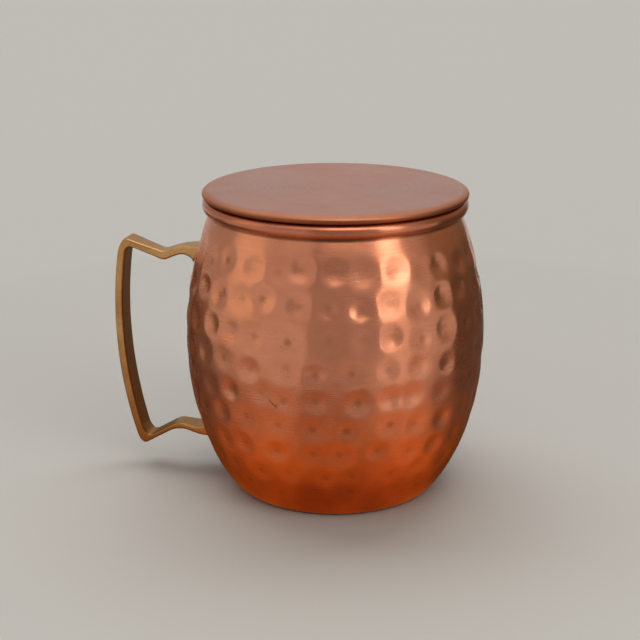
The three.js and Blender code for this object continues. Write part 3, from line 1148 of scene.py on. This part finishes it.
def reflected_sheet(name, points, faces, material, turn=0.0):
    """A sheet of light, turned round the Z axis, that only reflections see."""
    mesh = bpy.data.meshes.new(name)
    mesh.from_pydata(points, [], faces)
    sheet = bpy.data.objects.new(name, mesh)
    bpy.context.scene.collection.objects.link(sheet)
    sheet.rotation_euler.z = turn
    give(sheet, material)
    for ray in ("camera", "diffuse", "transmission", "volume_scatter", "shadow"):
        setattr(sheet, "visible_" + ray, False)


def make_warm_mat():
    """A round brown mat on the floor that warms the lower barrel."""
    turns = np.linspace(0, 2 * np.pi, MAT_SEGMENTS, endpoint=False)
    points = [
        (MAT_RADIUS * math.cos(t), MAT_SETBACK + MAT_RADIUS * math.sin(t), MAT_HEIGHT)
        for t in turns
    ]
    faces = [list(range(MAT_SEGMENTS))]
    reflected_sheet("warm_mat", points, faces, mat_glow(), math.radians(CAMERA_TURN))


def mat_glow():
    """Brown light off the mat: painted shadow near the mug, paler outwards, weaker to the back,
    stronger by the window.
    """
    material, tree, emission = glowing("mat_glow")
    place, x, y, _ = object_place(tree)
    distance = hypotenuse(tree, x, y)
    colour = MAT_COLOURS[0][1]
    for (start, _), (end, shade) in zip(MAT_COLOURS, MAT_COLOURS[1:]):
        colour = mix_colour(tree, remap(tree, distance, start, end), colour, shade)
    turn = turn_in_degrees(tree, x, y)
    side = remap(tree, math_node(tree, "ABSOLUTE", turn), *MAT_SIDES)
    grain = remap(tree, noise(tree, place, MAT_GRAIN_SCALE, detail=2.0), *MAT_GRAIN)
    shaded = multiply(
        tree, mat_sector(tree, turn, MAT_SHADED_SECTOR), remap(tree, distance, *MAT_SHADE_START))
    strength = add(
        tree,
        multiply(tree, side, grain),
        mat_sector(tree, turn, MAT_WINDOW_SECTOR),
        mat_sector(tree, turn, MAT_SUNNY_SECTOR),
        shaded,
    )
    plug_in(tree, emission.inputs["Color"], colour)
    plug_in(tree, emission.inputs["Strength"], strength)
    return material


def mat_sector(tree, turn, sector):
    """The strength that one sector of the mat adds."""
    start, end, soft, strength = sector
    return multiply(tree, window(tree, turn, start, end, soft), strength)


def make_cards():
    """Studio cards curved round the mug, each between two turns to the right of the camera."""
    for name, (start, end, distance, top, *light) in CARDS.items():
        turns = np.radians(CAMERA_TURN + np.linspace(start, end, CARD_STEPS + 1))
        points = [
            (distance * math.sin(t), -distance * math.cos(t), z) for z in (0, top) for t in turns
        ]
        above = CARD_STEPS + 1
        faces = [(i, i + 1, i + 1 + above, i + above) for i in range(CARD_STEPS)]
        reflected_sheet(name, points, faces, card_glow(name, *light))


def card_glow(name, colour, low_strength, high_strength, low, high):
    """Light from a card, whose strength changes between two heights."""
    material, tree, emission = glowing(name)
    *_, height = object_place(tree)
    strength = remap(tree, height, low, high, low_strength, high_strength)
    plug_in(tree, emission.inputs["Color"], colour)
    plug_in(tree, emission.inputs["Strength"], strength)
    return material


def make_world():
    """The studio's soft zones, behind a plain backdrop that the camera sees."""
    world = bpy.data.worlds.new("studio")
    bpy.context.scene.world = world
    world.use_nodes = True
    tree = world.node_tree
    place = node(tree, "ShaderNodeTexCoord")
    turned_place = node(tree, "ShaderNodeVectorRotate", rotation_type="Z_AXIS")
    turned_place.inputs["Angle"].default_value = math.radians(-CAMERA_TURN)
    tree.links.new(place.outputs["Generated"], turned_place.inputs["Vector"])
    x, y, z = axes(tree, turned_place.outputs["Vector"])
    turn = turn_in_degrees(tree, x, y)
    rise = multiply(tree, math_node(tree, "ARCSINE", z), math.degrees(1))
    path = node(tree, "ShaderNodeLightPath")
    key = multiply_add(tree, path.outputs["Is Glossy Ray"], KEY_IN_REFLECTIONS - 1, 1.0)
    colour = BACK_WALL
    for zone in STUDIO + KEY_LIGHTS:
        left, right, side_soft, low, high, end_soft, shade = zone
        across = window(tree, turn, left, right, side_soft)
        up = window(tree, rise, low, high, end_soft)
        share = multiply(tree, across, up)
        if zone in KEY_LIGHTS:
            share = multiply(tree, share, key)
        colour = mix_colour(tree, share, colour, shade)
    seen = mix_colour(tree, path.outputs["Is Camera Ray"], colour, BACKDROP_COLOUR)
    tree.links.new(seen, tree.nodes["Background"].inputs["Color"])


def make_camera():
    """The camera, above the rim and a little to the +X side of the mug's front."""
    camera = bpy.data.objects.new("camera", bpy.data.cameras.new("camera"))
    bpy.context.scene.collection.objects.link(camera)
    camera.location = CAMERA_PLACE
    camera.rotation_euler = (math.radians(CAMERA_TILT), 0, math.radians(CAMERA_HEADING))
    camera.data.lens = CAMERA_LENS
    camera.data.clip_start = CAMERA_NEAREST
    bpy.context.scene.camera = camera


def make_mug():
    """The six pieces, each in its metal."""
    hammered = copper(
        "hammered_copper", FRESH_COPPER, BARREL_ROUGHNESS, BARREL_ANISOTROPY, hammered=True)
    pressed = copper("pressed_copper", LID_COPPER, LID_ROUGHNESS, LID_ANISOTROPY, hammered=False)
    brass = cast_brass("cast_brass", FRESH_BRASS, AGED_BRASS, BRASS_ROUGHNESS, strap=True)
    filler = cast_brass("braze_filler", AGED_BRASS, AGED_FILLER, FILLER_ROUGHNESS, strap=False)
    give(make_barrel(make_dents()), hammered)
    give(make_lid_cover(), pressed)
    give(make_lid_plug(), pressed)
    give(make_handle(), brass)
    for node_name in BRAZE_ROOTS:
        give(make_braze(node_name), filler)


def main():
    """The stage, its light and the mug."""
    make_camera()
    make_world()
    make_floor()
    make_warm_mat()
    make_cards()
    bpy.context.scene.view_settings.view_transform = "Standard"
    make_mug()


main()
